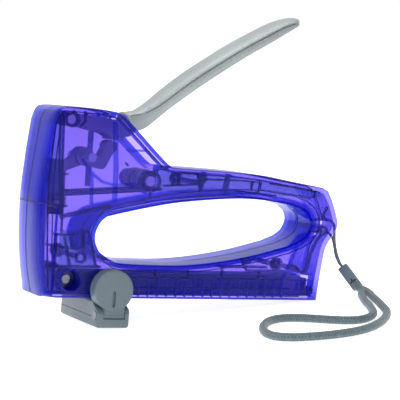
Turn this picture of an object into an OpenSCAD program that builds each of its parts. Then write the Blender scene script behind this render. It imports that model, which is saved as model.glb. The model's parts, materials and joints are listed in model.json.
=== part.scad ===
// Light-duty staple gun with a hand hole, a sprung driver in its head, a slide-out magazine,
// a foot under the nose and a wrist strap.
// Sub-parts are drawn with the base along X, the nose at -X and the working face down (z = 0),
// then stood on the foot and the heel by stand(). The strap is drawn where it lies on the floor.

/* [Body] */
// Width over both shells
body_w = 32; // [32:1:36]
// Thickness of the moulded shell walls
wall = 2.2; // [1.8:0.1:2.4]
// Corner rounding of the nose
nose_round = 4; // [2:0.5:4]
// Corner rounding around the hand hole
grip_round = 4.4; // [3:0.2:4.6]

/* [Drive] */
// Squeeze of the lever, from open to closed, in degrees
squeeze = 30; // [20:1:30]
// Thickness of the lever's sheet metal
lever_t = 1.5; // [1.2:0.1:1.8]
// Arm of the rocker from its pin to the plunger
rocker_front = 13; // [12:0.2:13]
// Arm of the rocker from its pin to its rounded heel
rocker_rear = 14; // [13.6:0.1:14.2]
// Wire diameter of the power spring
spring_wire = 1.8; // [1.4:0.1:1.8]

/* [Magazine] */
// Inside width of the staple channel, for staples with a 10.6 mm crown
channel_w = 11.2; // [11:0.1:11.4]
// Length of the staple rail
rail_l = 132; // [120:1:134]

/* [Foot] */
// Length of the foot across the body
foot_w = 45; // [42:1:48]
// Depth of the foot under the base
foot_drop = 12.9; // [11:0.1:13.5]

/* [Strap] */
// Diameter of the braided wrist cord
strap_d = 4; // [3:0.2:4]
// Diameter of the thin cord that joins it to the body
thin_d = 1.4; // [1:0.1:1.6]

/* [Hidden] */
$fn = 48;
half_w = body_w / 2;
shell_col = [0.38, 0.30, 0.85, 0.55];
steel_col = [0.75, 0.77, 0.79];
grey_col = [0.45, 0.51, 0.53];

// ---- curves and outlines ----------------------------------------------------------------
function mix(a, b, c, d, t) = 0.5 * (2 * b + (c - a) * t + (2 * a - 5 * b + 4 * c - d) * t * t
                                     + (3 * b - a - 3 * c + d) * t * t * t);
// A smooth curve through the points p, with n steps between neighbours
function curve(p, n) =
    let (m = len(p) - 1, q = concat([2 * p[0] - p[1]], p, [2 * p[m] - p[m - 1]]))
    concat([for (i = [0:m - 1], k = [0:n - 1]) mix(q[i], q[i + 1], q[i + 2], q[i + 3], k / n)],
           [p[m]]);
function unit(v) = v / norm(v);
function left_of(v) = [-v.y, v.x];
// Moves corner i of a closed outline into the material by d (the outline runs anticlockwise)
function inset_point(p, i, d) =
    let (n = len(p), a = p[(i + n - 1) % n], b = p[i], c = p[(i + 1) % n],
         u = left_of(unit([b.x - a.x, b.y - a.y])), v = left_of(unit([c.x - b.x, c.y - b.y])),
         w = unit(u + v))
    [b.x, b.y] + w * d / max(0.6, w * u);
function inset(p, d) = [for (i = [0:len(p) - 1]) inset_point(p, i, d)];
function turned(p, c, a) = c + [[cos(a), -sin(a)], [sin(a), cos(a)]] * (p - c);

// Side view of the body: [x, z, edge rounding] anticlockwise from the nose's lower corner
rear_edge = curve([[146.6, 0, 1], [147.6, 6, 2], [149.4, 20, 2.5], [151, 27, 3], [154, 32, 3],
                   [156.6, 36.6, 3], [156.4, 41, 3], [152.4, 50, 2.5], [149, 55, 1.5]], 2);
handle_top = curve([[145.5, 56.6, 1.2], [127, 58.9, 1.2], [109, 61.2, 1.2], [86, 62, 1.2],
                    [64, 62.4, 1.2], [59.5, 63.6, 1.2], [54, 68, 1.2], [47, 74.2, 1.2]], 3);
head_top = curve([[36.6, 83.4, 1.2], [33.6, 85.6, 1.2], [29, 86.8, 1.2], [18, 87.6, 1.2],
                  [6, 87.6, 1.4], [1.4, 85.6, 1.8], [-0.8, 81, 2]], 3);
nose_edge = curve([[-2.7, 66, 2.4], [-4.5, 46, nose_round - 0.6], [-4.1, 26, nose_round],
                   [-2.5, 12, nose_round], [0.2, 0, nose_round - 1]], 3);
body_edge = concat(rear_edge, handle_top, head_top, nose_edge);

// Hand hole: [x, z, edge rounding] anticlockwise
hole_floor = curve([[32, 18.4, 1.8], [38, 16.6, 2.8], [54.8, 16, 3.1], [72.8, 16.3, 3.1],
                    [91, 18.3, 3.2], [110, 21.8, 3.2], [128.6, 26.6, 3.2]], 3);
hole_rear = curve([[135.8, 29.6, 3.4], [139.8, 33, 3.8], [141.5, 37.8, 4.2], [140, 42, 4.3],
                   [135.8, 45.2, 4.3]], 2);
hole_roof = curve([[129, 47, 4.3], [112, 48.8, grip_round], [95, 48.6, grip_round],
                   [68, 45.8, grip_round], [50, 42.4, grip_round], [36, 39.2, 4.2]], 3);
hole_front = curve([[30, 37.8, 3.2], [26.6, 35.4, 1.6], [24.2, 30.6, 1], [24.4, 26, 1],
                    [26.8, 21.6, 1.2]], 2);
hole_edge = concat(hole_floor, hole_rear, hole_roof, hole_front);

// Half of a slab with rounded edges, from y = y0 out past y = half_w, where it is cut flat: the
// rounding ends a little past the side face, so that the cut has a clean edge. With swell = -1
// it is the cutter of a hole whose edge opens outwards.
edge_over = 0.06;
module rounded_half(edge, swell = 1, y0 = 0, steps = 4) {
    n = len(edge);
    top = half_w + edge_over;
    layers = [for (k = [0:steps]) 90 * k / steps];
    foot = [for (q = edge) [q.x, y0, q.y]];
    bend = [for (a = layers, i = [0:n - 1])
            let (r = edge[i][2], p = inset_point(edge, i, swell * r * (1 - cos(a))))
            [p.x, top - r + r * sin(a), p.y]];
    head = [for (i = [0:n - 1]) let (p = inset_point(edge, i, swell * edge[i][2]))
            [p.x, top + 1, p.y]];
    pts = concat(foot, bend, head);
    rows = len(layers) + 2;
    sides = [for (j = [0:rows - 2], i = [0:n - 1], t = [0:1])
             let (a = j * n + i, b = j * n + (i + 1) % n)
             t == 0 ? [a, b, b + n] : [a, b + n, a + n]];
    near_cap = [for (i = [n - 1:-1:0]) i];
    far_cap = [for (i = [0:n - 1]) (rows - 1) * n + i];
    polyhedron(pts, concat([near_cap, far_cap], sides), convexity = 10);
}
// A plate in the XZ plane between y0 and y1
module plate(y0, y1) { translate([0, y1, 0]) rotate([90, 0, 0]) linear_extrude(y1 - y0) children(); }
// A round bar along Y between y0 and y1, at p = [x, z]
module bar(p, r, y0, y1) { translate([p.x, y1, p.y]) rotate([90, 0, 0]) cylinder(r = r, h = y1 - y0); }
module block(x0, x1, y0, y1, z0, z1) { translate([x0, y0, z0]) cube([x1 - x0, y1 - y0, z1 - z0]); }

// Round wire or cord along the points p: rings of n corners, carried along without twist
function step_dir(p, i) = unit(p[min(i + 1, len(p) - 1)] - p[max(i - 1, 0)]);
function square_to(u, t) = unit(u - (u * t) * t);
function carried(p, u0) = [for (i = 0, u = square_to(u0, step_dir(p, 0)); i < len(p);
                               i = i + 1, u = square_to(u, step_dir(p, min(i, len(p) - 1)))) u];
module wire(p, r, n = 8, u0 = [0, 0, 1]) {
    us = carried(p, u0);
    m = len(p);
    pts = [for (i = [0:m - 1], k = [0:n - 1])
           let (t = step_dir(p, i), u = us[i], v = cross(t, u), a = 360 * k / n)
           p[i] + r * (cos(a) * u + sin(a) * v)];
    sides = [for (i = [0:m - 2], k = [0:n - 1], t = [0:1])
             let (a = i * n + k, b = i * n + (k + 1) % n)
             t == 0 ? [a, b + n, b] : [a, a + n, b + n]];
    polyhedron(pts, concat([[for (k = [0:n - 1]) k]],
                           [[for (k = [n - 1:-1:0]) (m - 1) * n + k]], sides), convexity = 10);
}

// ---- how the gun stands ------------------------------------------------------------------
foot_x0 = 24.8;
foot_x1 = 41.3;
heel_x = rear_edge[0][0];
tilt = atan2(foot_drop, heel_x - foot_x1);
stood_x = [for (p = body_edge) p.x * cos(tilt) + p.y * sin(tilt)];
shift = [-(min(stood_x) + max(stood_x)) / 2, 0, heel_x * sin(tilt)];
module stand() { translate(shift) rotate([0, tilt, 0]) children(); }

// ---- places of the working parts -----------------------------------------------------------
lever_pivot = [9.3, 81.9];
rocker_pivot = [21.1, 64.9];
coil_centre = [51.5, 55.3];
rocker_turn = 61;
rocker_ratio = rocker_turn / squeeze;
front_angle = 180 + rocker_turn / 2;
rear_angle = 21.5;
heel_r = 3.2;
rocker_elbow = [30, 61.8];
plunger_tip = rocker_pivot + rocker_front * [cos(front_angle), sin(front_angle)];
screw_at = [[17.2, 19], [77.7, 55.8], [121.2, 17.7], [139, 14.5]];
screw_boss_r = 3.4;
post_at = [150, 36];
side_hole = [13.3, 8.1];

// ---- shells ---------------------------------------------------------------------------------
module shell_cavity() {
    plate(-1, half_w - wall) difference() {
        polygon(inset(body_edge, wall));
        polygon(inset(hole_edge, -wall));
    }
}
// Thin upright ribs inside the side wall, as in the moulding
rib_depth = 5;
module rib(p, q, t = 1.1) {
    d = unit(q - p);
    w = left_of(d) * t / 2;
    plate(half_w - wall - rib_depth, half_w - wall + 0.4) polygon([p - w, q - w, q + w, p + w]);
}
module ribs() {
    for (x = [14, 20.5, 27]) rib([x, 79], [x, 86.2]);
    rib([30, 50.2], [30, 86]);
    rib([15, 60], [15, 40]);
    rib([5.5, 22.6], [27, 19.6]);
    rib([24.4, 13], [24.4, 20]);
    rib([60, 48], [66, 60.6]);
    rib([91, 50.6], [92.4, 60.8]);
    rib([105, 50.8], [106.4, 60.4]);
    rib([112, 51], [136, 48.6]);
    for (x = [44, 58.7, 73.4, 88.1]) rib([x, 11.8], [x, 15]);
    rib([104, 13], [132, 13]);
}
module ladder() {
    for (k = [0:19]) rib([45 + 4.9 * k, 5.7], [45 + 4.9 * k, 9.4], 0.8);
}
module shell_bosses() {
    for (p = screw_at) bar(p, screw_boss_r, 0, half_w - 1);
    bar(lever_pivot, 3.8, 6.8, half_w - 1);
    bar(rocker_pivot, 4, 10.4, half_w - 1);
    bar(coil_centre, 4, 10.4, half_w - 1);
    bar(post_at, 2.9, 4.2, half_w - 1);
    // ledge under the driver's bumper
    block(4.6, 11.5, 4, half_w - 1, 35.2, 37.6);
}
module lever_slot() {
    plate(-1, 8.4) polygon([[30.5, 80.6], [57, 58.4], [62.4, 59.4], [62.4, 92], [37.5, 92], [33, 84.4]]);
}
module shell_half() {
    difference() {
        union() {
            difference() {
                intersection() {
                    rounded_half(body_edge);
                    block(-10, 170, -1, half_w, -5, 100);
                }
                shell_cavity();
            }
            intersection() {
                union() { shell_bosses(); ribs(); ladder(); }
                plate(-1, half_w) polygon(inset(body_edge, wall / 2));
            }
        }
        rounded_half(hole_edge, swell = -1, y0 = -1);
        lever_slot();
        // room for the magazine, open at the nose and the heel
        block(-6, 160, -1, channel_w / 2 + 1.6, -1, 11.4);
        // room for the driver's guide and the nose cover
        block(-8, 4.4, -1, half_w + 2, -1, 43);
        // the strap's mouth in the rear edge
        block(150, 160, -1, 2.6, 31.4, 40.4);
        bar(lever_pivot, 2.03, 0, 13);
        bar(rocker_pivot, 2.03, 0, 13);
        bar(coil_centre, 2.4, 0, 13);
        bar(post_at, 1.7, 0, 13);
        bar(side_hole, 4.85, 5, half_w + 1);
    }
}
module screw_holes(r, y0, y1) { for (p = screw_at) bar(p, r, y0, y1); }
module near_shell() {
    color(shell_col) stand() difference() {
        mirror([0, 1, 0]) shell_half();
        screw_holes(1.25, -10, 1);
    }
}
module far_shell() {
    color(shell_col) stand() difference() {
        shell_half();
        screw_holes(1.6, -1, half_w + 1);
        screw_holes(2.6, half_w - 1.9, half_w + 1);
    }
}
module nose_cover() {
    color(shell_col) stand() difference() {
        intersection() {
            union() {
                rounded_half(body_edge);
                mirror([0, 1, 0]) rounded_half(body_edge);
            }
            block(-8, 4.2, -half_w, half_w, -1, 42.8);
        }
        block(0.9, 6, -8.2, 8.2, -1, 44);
        block(-2.2, 6, -half_w + wall, -9.8, 3, 41);
        block(-2.2, 6, 9.8, half_w - wall, 3, 41);
    }
}
// Pan-head screws from the far side, with a cross recess
module shell_screws() {
    color(steel_col) stand() for (p = screw_at) difference() {
        union() {
            bar(p, 1.25, -9.5, half_w - 1.8);
            bar(p, 2.5, half_w - 1.9, half_w - 0.3);
        }
        for (a = [45, 135]) translate([p.x, half_w - 0.5, p.y]) rotate([0, a, 0])
            cube([3.2, 1.4, 0.7], center = true);
    }
}

// ---- lever ----------------------------------------------------------------------------------
// Stations along the outer lever: [x, z of the crown, half width, side depth]
lever_line = curve([[41, 82.6, 6.3, 6.2], [47, 87.2, 6.5, 7.6], [53, 91, 7.2, 7.2],
                    [61, 98, 8.2, 6.8], [71, 106, 9, 6.5], [82, 113.7, 9.7, 6.2],
                    [96, 122.8, 10, 5.8], [110, 131, 9.8, 5.2], [120, 136.4, 9.2, 4.2],
                    [127, 138.9, 7.6, 3.2], [131, 138.6, 4.6, 2.4]], 2);
// The folded section: outer skin, then inner skin
function channel_ring(s, d) =
    let (along = unit(d), up = left_of(along), w = s[2], h = s[3], t = lever_t,
         skin = [[-w, -h], [-w, -2], [-w + 1.6, -0.6], [-w / 2, 0.3], [0, 0.6], [w / 2, 0.3],
                 [w - 1.6, -0.6], [w, -2], [w, -h]],
         lining = [[w - t, -h], [w - t, -2.2], [w - 2.6, -t - 0.5], [0, 0.6 - t],
                   [-w + 2.6, -t - 0.5], [-w + t, -2.2], [-w + t, -h]])
    [for (q = concat(skin, lining)) [s.x + up.x * q.y, q.x, s.y + up.y * q.y]];
module channel_sweep(line) {
    m = len(line);
    rings = [for (i = [0:m - 1])
             let (a = line[max(i - 1, 0)], b = line[min(i + 1, m - 1)])
             each channel_ring(line[i], [b.x - a.x, b.y - a.y])];
    n = len(rings) / m;
    sides = [for (i = [0:m - 2], k = [0:n - 1], t = [0:1])
             let (a = i * n + k, b = i * n + (k + 1) % n)
             t == 0 ? [a, b, b + n] : [a, b + n, a + n]];
    // the ends, in pieces that each join the skin to the lining
    ends = [[0, 1, 14, 15], [1, 2, 13, 14], [2, 3, 4, 12, 13], [4, 5, 6, 11, 12], [6, 7, 10, 11],
            [7, 8, 9, 10]];
    polyhedron(rings, concat([for (e = ends) [for (k = [len(e) - 1:-1:0]) e[k]]],
                             [for (e = ends) [for (k = e) (m - 1) * n + k]], sides), convexity = 10);
}
// Where the rocker's heel runs, seen from the lever while both turn
function heel_path(f) =
    turned(rocker_pivot + rocker_rear * [cos(rear_angle - f * rocker_ratio),
                                         sin(rear_angle - f * rocker_ratio)], lever_pivot, f);
function cam_point(f, d) =
    let (t = unit(heel_path(f + 1) - heel_path(f - 1)), n = left_of(t))
    heel_path(f) + (n.y > 0 ? n : -n) * (heel_r + 0.25 + d);
cam_steps = [for (k = [-1:8]) k * squeeze / 8];
cheek_y0 = 4.9;
module lever() { color([0.72, 0.75, 0.75]) stand() channel_sweep(lever_line); }
// Inner arm, riveted inside the outer lever: two cheeks, the web over them and the cam
module cam_profile() {
    lower = [for (f = cam_steps) cam_point(f, 0)];
    upper = [for (k = [len(cam_steps) - 1:-1:0]) cam_point(cam_steps[k], 2)];
    polygon(concat(lower, upper));
}
module cheek_profile() {
    polygon([[9, 84.9], [27, 83.9], [33, 82.9], [40, 83], [43.5, 83.6], [52, 90.2], [54.5, 86.2],
             [46, 78.8], [42, 75.6], [37, 74.4], [33, 74.6], [30.5, 76], [20, 77.9], [9, 78.9]]);
    translate(lever_pivot) circle(r = 3.1);
}
module web_profile() {
    polygon([[14, 84.6], [27, 83.9], [33, 82.9], [40, 83], [40, 81.5], [33, 81.4], [27, 82.4], [14, 83.1]]);
}
module lever_arm() {
    color([0.6, 0.62, 0.64]) stand() difference() {
        union() {
            for (s = [-1, 1]) scale([1, s, 1]) plate(cheek_y0 - 0.2, cheek_y0 - 0.2 + 1.3) cheek_profile();
            plate(-5.5, 5.5) cam_profile();
            plate(-5.5, 5.5) web_profile();
        }
        bar(lever_pivot, 2.05, -10, 10);
    }
}
module lever_pin() { color(steel_col) stand() bar(lever_pivot, 2, -12.8, 12.8); }

// ---- drive ------------------------------------------------------------------------------------
module rocker() {
    tail = rocker_pivot + rocker_rear * [cos(rear_angle), sin(rear_angle)];
    color([0.55, 0.57, 0.6]) stand() difference() {
        union() {
            bar(rocker_pivot, 4.4, -4, 4);
            bar(plunger_tip, 2.7, -2.2, 2.2);
            bar(tail, heel_r, -3.2, 3.2);
            arm(rocker_pivot, plunger_tip, 3.6, 1.45, 2.2);
            bar(rocker_elbow, 2.5, -3.2, 3.2);
            arm(rocker_pivot, rocker_elbow, 3.6, 2.5, 3.2);
            arm(rocker_elbow, tail, 2.5, 2.5, 3.2);
        }
        bar(rocker_pivot, 2.05, -10, 10);
    }
}
// A flat tapered arm from p to q, with half heights a and b and half thickness h
module arm(p, q, a, b, h) {
    w = left_of(unit(q - p));
    plate(-h, h) polygon([p - w * a, q - w * b, q + w * b, p + w * a]);
}
module rocker_pin() { color(steel_col) stand() bar(rocker_pivot, 2, -12.8, 12.8); }

plunger_top = 62.8;
lug_top = 45.9;
module plunger() {
    color([0.6, 0.62, 0.65]) stand() difference() {
        union() {
            block(3.5, 11, -6.2, 6.2, 41, plunger_top);
            block(5.4, 11, -8.6, 8.6, 41, lug_top);
        }
        block(4.9, 12, -2.6, 2.6, plunger_tip.y - 3.15, plunger_tip.y + 3.15);
    }
}
module driver_blade() { color(steel_col) stand() block(2.5, 3.5, -5.3, 5.3, 1, 52); }
module bumper() {
    color([0.2, 0.2, 0.22]) stand() block(3.8, 11, -6.2, 6.2, 37.6, 40.9);
}
coil_r = 4.6;
arm_y = 7.6;
// One coil, wound inwards from the arm; s is the side
function coil(s) = [for (a = [0:30:1080]) let (y = arm_y - a / 360 * (spring_wire + 0.1))
                    [coil_centre.x + coil_r * sin(a), s * y, coil_centre.y - coil_r * cos(a)]];
function arm_half(s) = concat([[7.4, s * arm_y, lug_top + 0.95], [16, s * arm_y, lug_top + 1.7],
                               [46, s * arm_y, 50.2]], coil(s),
                              [[59, s * 1.9, 50.9], [62.6, s * 1.2, 51.2]]);
module power_spring() {
    near = arm_half(-1);
    far = arm_half(1);
    color([0.35, 0.36, 0.38]) stand()
        wire(concat(near, [for (k = [len(far) - 1:-1:0]) far[k]]), spring_wire / 2, 6, [0, 1, 0]);
}
module spring_pin() { color(steel_col) stand() bar(coil_centre, 2.36, -12.8, 12.8); }
module lever_spring() {
    turns = [for (a = [0:30:720]) [lever_pivot.x + 3 * sin(a), -4.1 + 1.2 * a / 360,
                                   lever_pivot.y - 3 * cos(a)]];
    color([0.5, 0.52, 0.55]) stand()
        wire(concat([[15, -4.1, 79]], turns, [[18, -1.7, 79.4]]), 0.4, 6, [0, 1, 0]);
}

// ---- nose and magazine ----------------------------------------------------------------------
guide_w = 7.9;
module nose_guide() {
    color(steel_col) stand() difference() {
        union() {
            block(1.1, 2.3, -guide_w, guide_w, 0.2, 42);
            for (s = [-1, 1]) scale([1, s, 1]) block(2.3, 18, 7, guide_w, 2.5, 11);
        }
        bar(side_hole, 1.15, -10, 10);
    }
}
module nose_screws() {
    color([0.85, 0.86, 0.88]) stand() for (s = [-1, 1]) scale([1, s, 1]) difference() {
        union() {
            bar(side_hole, 2, 8, 9.8);
            bar(side_hole, 1.1, 5.9, 8);
        }
        translate([side_hole.x, 9.8, side_hole.y]) rotate([0, 20, 0])
            cube([5, 1.2, 0.8], center = true);
    }
}
module magazine_channel() {
    w = channel_w / 2;
    color(steel_col) stand() difference() {
        block(4, 142, -w - 0.9, w + 0.9, 0.3, 11.2);
        block(3, 143, -w, w, -1, 10.3);
        for (s = [-1, 1]) scale([1, s, 1]) bar(side_hole, 1.15, 4, 8);
    }
}
rail_x0 = 4.2;
module staple_rail() {
    color(steel_col) stand() difference() {
        block(rail_x0, rail_x0 + rail_l, -4.6, 4.6, 1, 7.6);
        block(rail_x0 - 1, rail_x0 + rail_l + 1, -3.7, 3.7, 0, 6.7);
        block(rail_x0 + 2, rail_x0 + rail_l - 8, -1.2, 1.2, 5, 9);
    }
}
module rail_grip() {
    x = rail_x0 + rail_l;
    color(grey_col) stand() difference() {
        union() {
            block(x, 146.4, -5.4, 5.4, 0.8, 9.8);
            block(142.4, 149.2, -4, 4, 0.8, 5.2);
        }
        bar([x + 4, 5.2], 1.3, -6, 6);
        block(138.6, 150, -2.1, 2.1, 1.8, 4.4);
    }
}
module magazine_latch() {
    color([0.2, 0.2, 0.25]) stand() {
        block(142, 151, -1.8, 1.8, 2.1, 4.1);
        block(150.9, 152.4, -3, 3, 1.4, 4.8);
    }
}
module latch_spring() {
    color(steel_col) stand() wire([for (a = [0:45:1080]) [138.9 + 2.9 * a / 1080, 0.8 * cos(a),
                                                          3.1 + 0.8 * sin(a)]], 0.15, 5, [0, 1, 0]);
}
module pusher() {
    color([0.3, 0.3, 0.33]) stand() difference() {
        union() {
            difference() {
                block(6, 20, -5.4, 5.4, 1.2, 10);
                block(5, 21, -4.75, 4.75, 0, 7.75);
            }
            block(8, 13, -1, 1, 5.8, 8);
            block(8, 13, -3.4, 3.4, 1.9, 6.4);
        }
        bar_x(4.2, 1.06);
    }
}
// The pusher's running bore along X
module bar_x(z, r) { translate([0, 0, z]) rotate([0, 90, 0]) cylinder(r = r, h = 60); }
module pusher_rod() {
    color(steel_col) stand() translate([5, 0, 4.2]) rotate([0, 90, 0])
        cylinder(r = 1, h = rail_x0 + rail_l - 5);
}
module pusher_spring() {
    n = 15;
    x0 = 21;
    x1 = rail_x0 + rail_l - 1;
    color([0.6, 0.62, 0.65]) stand() wire([for (a = [0:45:360 * n])
        [x0 + (x1 - x0) * a / (360 * n), 2.2 * cos(a), 4.2 + 2.2 * sin(a)]], 0.35, 5, [1, 0, 0]);
}

// ---- foot -----------------------------------------------------------------------------------
foot_pin_at = [-19, -7.2];
sole_t = 2.8;
arm_x0 = 28;
arm_x1 = 38.6;
module foot_profile(x0, x1, z0, z1, r) {
    // seen from the front, with round far corners
    translate([x0, 0, 0]) rotate([90, 0, 90]) linear_extrude(x1 - x0) union() {
        translate([-foot_w / 2, z0]) square([foot_w - r, z1 - z0]);
        translate([-foot_w / 2, z0]) square([foot_w, max(z1 - z0 - r, 0.2)]);
        translate([foot_w / 2 - r, z1 - r]) circle(r = r);
    }
}
module foot_block() {
    color(grey_col) stand() difference() {
        foot_profile(foot_x0, foot_x1, -foot_drop + sole_t, -0.3, 3);
        // rebate beside the body, a seat round the dial, and the fork for the arm
        block(foot_x0 - 1, foot_x1 + 1, -foot_w / 2 - 1, -half_w - 0.4, -1.9, 1);
        bar(dial_at, dial_r + 0.4, -foot_w / 2 - 1, -half_w + 0.2);
        bar(dial_at, dial_r + 2.1, -foot_w / 2 - 1, -20.3);
        block(arm_x0 - 0.15, arm_x1 + 0.15, -foot_w / 2 - 1, -half_w + 0.2, -foot_drop + sole_t + 0.1, 1);
        translate([foot_x0 - 1, foot_pin_at.x, foot_pin_at.y]) rotate([0, 90, 0]) cylinder(r = 1.6, h = 30);
        translate([foot_x0 - 1, foot_pin_at.x, foot_pin_at.y]) rotate([0, 90, 0]) cylinder(r = 2.4, h = 2);
    }
}
module foot_sole() {
    color(grey_col * 0.8) stand() block(foot_x0, foot_x1, -foot_w / 2, foot_w / 2, -foot_drop, -foot_drop + sole_t);
}
dial_at = [32.6, 4.6];
dial_r = 9.7;
module foot_arm() {
    color(grey_col) stand() difference() {
        union() {
            bar(dial_at, dial_r, -22.1, -half_w - 0.3);
            bar(dial_at, dial_r - 0.8, -22.5, -22);
            block(arm_x0, arm_x1, -22.1, -half_w - 0.3, foot_pin_at.y, 0);
            translate([arm_x0, foot_pin_at.x, foot_pin_at.y]) rotate([0, 90, 0])
                cylinder(r = 2.5, h = arm_x1 - arm_x0);
        }
        block(dial_at.x - 0.8, dial_at.x + 0.8, -23, -21.3, -3.4, dial_at.y);
        translate([foot_x0 - 1, foot_pin_at.x, foot_pin_at.y]) rotate([0, 90, 0]) cylinder(r = 1.65, h = 30);
    }
}
module foot_pin() {
    color([0.85, 0.86, 0.88]) stand() union() {
        translate([foot_x0 - 0.2, foot_pin_at.x, foot_pin_at.y]) rotate([0, 90, 0]) cylinder(r = 2.3, h = 1.2);
        translate([foot_x0 + 0.9, foot_pin_at.x, foot_pin_at.y]) rotate([0, 90, 0])
            cylinder(r = 1.6, h = foot_x1 - foot_x0 - 1.2);
    }
}

// ---- strap ------------------------------------------------------------------------------------
module strap_post() { color(steel_col) stand() bar(post_at, 1.7, -12.8, 12.8); }
clasp_top = [88.6, -5.4, 13.4];
clasp_end = [92, -14.4, 3.3];
clasp_spin = 53;
// The thin cord: out of the clasp, in at the rear mouth, round the post and back
loop_route = [[89.4, -5.8, 12], [88.3, -4, 14.6], [87.5, -2.4, 18.5], [87.1, -1.2, 23],
              [87.2, -0.4, 27.5], [87.8, 0.2, 31.6], [87.6, 0.4, 34.6], [85.6, 0.3, 36.8],
              [82, 0.2, 37.8], [78, 0, 38.2], [74, 0, 38.2], [71.5, 0, 37], [70.9, 0, 34.6],
              [72.2, 0, 32.7], [75.4, 0, 32.2], [79.4, 0, 32.2], [83, -0.5, 31.3],
              [85.4, -1.2, 28.4], [86, -2, 24.4], [86.2, -3, 19.6], [86.8, -4.4, 16.2],
              [87.5, -5.6, 14.4], [88.5, -6.9, 12.6]];
// The wrist cord: out of the clasp's other end, once round on the floor and back
strap_route = [[90, -13.9, 6.4], [90.7, -15.9, 4.3], [90, -20.5, 2.7], [86, -26.5, 2.1],
               [82, -34, 2.1], [78, -42, 2.1], [74, -51, 2.1], [69.5, -60, 2.1],
               [64.5, -68.5, 2.1], [58.5, -74.5, 2.1], [51.5, -77, 2.1], [45.5, -74.5, 2.1],
               [40.5, -69, 2.1], [36, -63, 2.1], [31, -57, 2.1], [24.5, -53, 2.1],
               [17, -54.5, 2.1], [10, -61, 2.1], [4.5, -69.5, 2.1], [1.5, -78, 2.1],
               [1.8, -85.5, 2.1], [6.5, -91.5, 2.1], [15.5, -95.5, 2.1], [26, -97.5, 2.1],
               [36.5, -97, 2.1], [46.5, -93.5, 2.1], [56.5, -86.5, 2.1], [65.5, -77.5, 2.1],
               [72.5, -68, 2.1], [77.5, -57.5, 2.1], [82.5, -46.5, 2.1], [87, -35.5, 2.1],
               [91.5, -25.5, 2.1], [94, -18, 2.2], [93.3, -13.1, 3], [92.4, -11, 4.6]];
module strap_loop() { color([0.35, 0.37, 0.4]) wire(loop_route, thin_d / 2, 8, [0, 1, 0]); }
module strap_clasp() {
    d = clasp_end - clasp_top;
    l = norm(d);
    color(grey_col) translate(clasp_top) rotate([0, acos(d.z / l), atan2(d.y, d.x)])
        rotate([0, 0, clasp_spin]) union() {
            cylinder(r = 2.4, h = l - 1);
            for (s = [-1, 1]) translate([s * 2.15, 0, 4]) cylinder(r = 2.6, h = l - 4);
            translate([-2.15, -2.6, 4]) cube([4.3, 5.2, l - 4]);
        }
}
module strap_cord() { color([0.4, 0.42, 0.46]) wire(strap_route, strap_d / 2, 8); }

near_shell();
far_shell();
nose_cover();
shell_screws();
lever();
lever_arm();
lever_pin();
lever_spring();
rocker();
rocker_pin();
plunger();
driver_blade();
bumper();
power_spring();
spring_pin();
nose_guide();
nose_screws();
magazine_channel();
staple_rail();
rail_grip();
magazine_latch();
latch_spring();
pusher();
pusher_rod();
pusher_spring();
foot_block();
foot_sole();
foot_arm();
foot_pin();
strap_post();
strap_loop();
strap_clasp();
strap_cord();
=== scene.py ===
"""Looks of the staple gun: clear violet mouldings, plated lever, grey foot and braided strap.

Pieces of the gun are drawn in millimetres in the tool's own frame, with the base along X, the nose at -X
and the working face at z = 0, and STAND takes them to the row frame. The strap is drawn in the row frame.
"""
import json
import math

import bmesh
import bpy
from mathutils import Matrix, Vector


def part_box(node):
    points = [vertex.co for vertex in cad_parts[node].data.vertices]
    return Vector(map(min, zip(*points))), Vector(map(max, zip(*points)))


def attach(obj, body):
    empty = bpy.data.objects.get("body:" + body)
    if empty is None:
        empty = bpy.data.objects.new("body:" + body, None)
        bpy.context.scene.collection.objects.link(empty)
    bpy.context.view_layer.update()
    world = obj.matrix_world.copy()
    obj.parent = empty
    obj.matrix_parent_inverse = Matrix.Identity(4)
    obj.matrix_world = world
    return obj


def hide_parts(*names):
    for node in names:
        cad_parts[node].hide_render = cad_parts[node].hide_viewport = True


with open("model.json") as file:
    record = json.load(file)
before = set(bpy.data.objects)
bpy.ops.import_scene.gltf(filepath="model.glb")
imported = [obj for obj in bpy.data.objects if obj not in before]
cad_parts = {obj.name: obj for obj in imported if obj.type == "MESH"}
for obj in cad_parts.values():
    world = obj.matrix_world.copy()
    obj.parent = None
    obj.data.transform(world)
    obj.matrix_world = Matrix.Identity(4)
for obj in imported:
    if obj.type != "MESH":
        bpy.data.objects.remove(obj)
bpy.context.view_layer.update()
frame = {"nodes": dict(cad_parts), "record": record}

MM = 0.001


# ---- driving dimensions of the gun, in millimetres -------------------------------------------
HALF_W = 16.0
WALL = 2.2
FOOT_BACK = 41.3
FOOT_DROP = 12.9
HEEL_X = 146.6
COVER_X = 4.2
COVER_Z = 42.8

# Places in the side view, as (x, z)
SIDE_HOLE = (13.3, 8.1)
SIDE_HOLE_R = 4.85
SCREWS = [(17.2, 19), (77.7, 55.8), (121.2, 17.7), (139, 14.5)]
LEVER_PIVOT = (9.3, 81.9)
COIL = (51.5, 55.3)
DIAL = (32.6, 4.6)

# The foot's hinge line runs along X at this (y, z)
HINGE = (-19, -7.2)

# Steps between two neighbouring points of an outline
CURVE_STEPS = 6
TIGHT_STEPS = 5


# ---- curves ------------------------------------------------------------------------------------
def spline_point(a, b, c, d, t):
    """The point at t on the way from b to c, on a smooth curve through a, b, c and d."""
    return 0.5 * (2 * b + (c - a) * t + (2 * a - 5 * b + 4 * c - d) * t * t
                  + (3 * b - a - 3 * c + d) * t ** 3)


def curve(points, n):
    """A smooth curve through the points, with n steps between neighbours."""
    p = [Vector(q) for q in points]
    q = [2 * p[0] - p[1], *p, 2 * p[-1] - p[-2]]
    steps = [spline_point(*q[i:i + 4], k / n) for i in range(len(p) - 1) for k in range(n)]
    return steps + [p[-1]]


SHARPEST = 0.6
LEAST_ROUNDING = 0.4


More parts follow.
